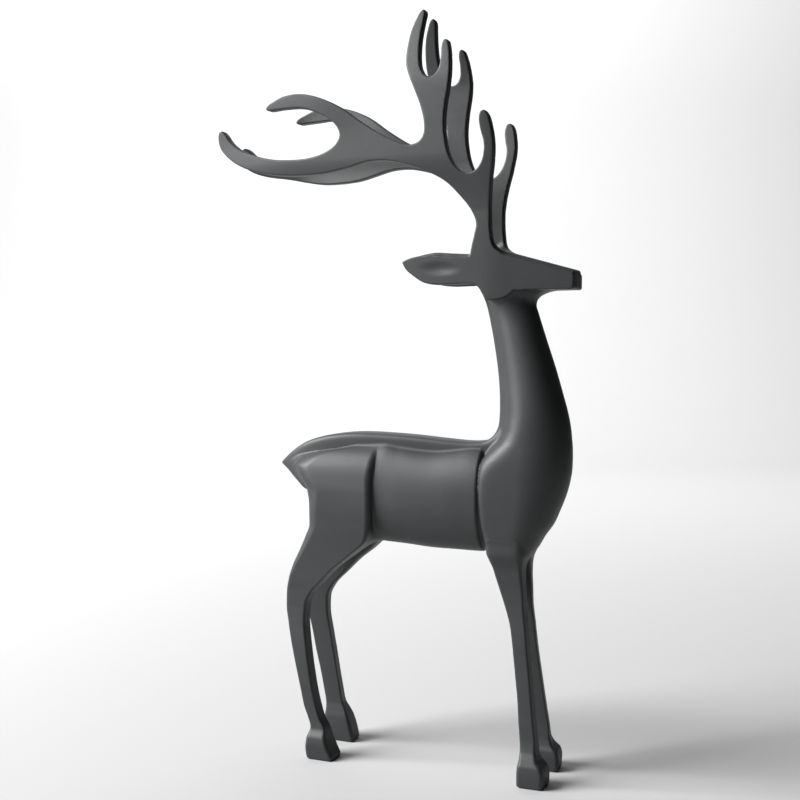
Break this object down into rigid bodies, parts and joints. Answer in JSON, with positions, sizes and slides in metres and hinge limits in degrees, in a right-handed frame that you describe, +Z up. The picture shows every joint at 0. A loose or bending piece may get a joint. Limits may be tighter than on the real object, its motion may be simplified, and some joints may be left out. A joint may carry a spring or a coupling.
{
  "type": "stag statue",
  "caption": "Stylised standing stag cast in iron, with ridged back, slab-sided head, ears laid back and tall antler plates, dark anthracite coat.",
  "frame": {"origin": "on the ground under the middle of the overall length, in the statue's middle plane", "axes": "+X the way the stag looks, +Y its left, +Z up"},
  "size_m": [0.2967, 0.073, 0.5996],
  "materials": {
    "coated_iron": "matte anthracite coat over fine cast grain"
  },
  "bodies": {
    "root": {"stag": "coated_iron"}
  },
  "joints": []
}
